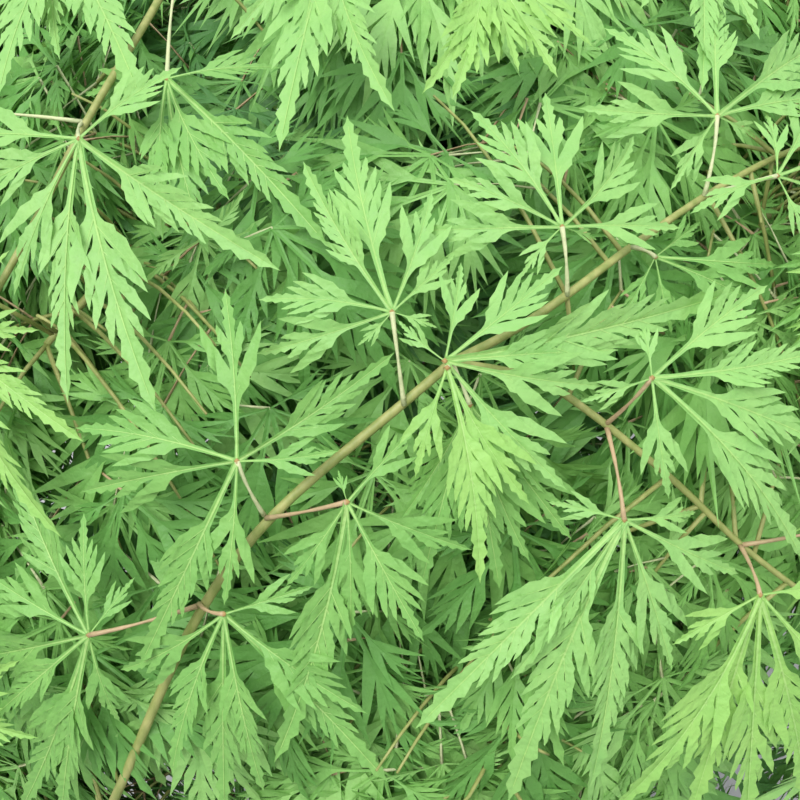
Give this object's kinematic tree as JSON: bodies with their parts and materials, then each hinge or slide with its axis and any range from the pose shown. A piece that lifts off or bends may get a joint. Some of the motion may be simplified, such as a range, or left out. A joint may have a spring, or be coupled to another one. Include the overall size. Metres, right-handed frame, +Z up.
{
  "type": "potted laceleaf maple",
  "caption": "Weeping laceleaf maple with a mounded green crown of deeply cut leaves on a short leaning trunk, planted in a plain round patio pot.",
  "frame": {"origin": "middle of the pot's flat underside, which is the lowest level of the part", "axes": "+Z up; the trunk leans towards -X and a little -Y; -Y is the side that is seen in the main view"},
  "size_m": [0.8187, 0.8213, 0.8906],
  "materials": {
    "pot": "matte charcoal stoneware, fine grain, slightly worn at the rim",
    "soil": "dark crumbly potting mix with bark flakes",
    "bark": "olive-tan young bark, finely ridged on the trunk, smooth on the twigs",
    "leaf": "thin fresh green leaf, softly satin, pale midribs"
  },
  "bodies": {
    "root": {"pot": "pot", "soil": "soil", "trunk": "bark", "bough_top": "bark", "bough_upper_1": "bark", "bough_upper_2": "bark", "bough_upper_3": "bark", "bough_upper_4": "bark", "bough_upper_5": "bark", "bough_middle_1": "bark", "bough_middle_2": "bark", "bough_middle_3": "bark", "bough_middle_4": "bark", "bough_middle_5": "bark", "bough_middle_6": "bark", "bough_middle_7": "bark", "bough_middle_8": "bark", "bough_skirt_1": "bark", "bough_skirt_2": "bark", "bough_skirt_3": "bark", "bough_skirt_4": "bark", "bough_skirt_5": "bark", "bough_skirt_6": "bark", "bough_skirt_7": "bark", "bough_skirt_8": "bark", "bough_skirt_9": "bark", "foliage_top": "leaf", "foliage_upper_1": "leaf", "foliage_upper_2": "leaf", "foliage_upper_3": "leaf", "foliage_upper_4": "leaf", "foliage_upper_5": "leaf", "foliage_middle_1": "leaf", "foliage_middle_2": "leaf", "foliage_middle_3": "leaf", "foliage_middle_4": "leaf", "foliage_middle_5": "leaf", "foliage_middle_6": "leaf", "foliage_middle_7": "leaf", "foliage_middle_8": "leaf", "foliage_skirt_1": "leaf", "foliage_skirt_2": "leaf", "foliage_skirt_3": "leaf", "foliage_skirt_4": "leaf", "foliage_skirt_5": "leaf", "foliage_skirt_6": "leaf", "foliage_skirt_7": "leaf", "foliage_skirt_8": "leaf", "foliage_skirt_9": "leaf"}
  },
  "joints": []
}
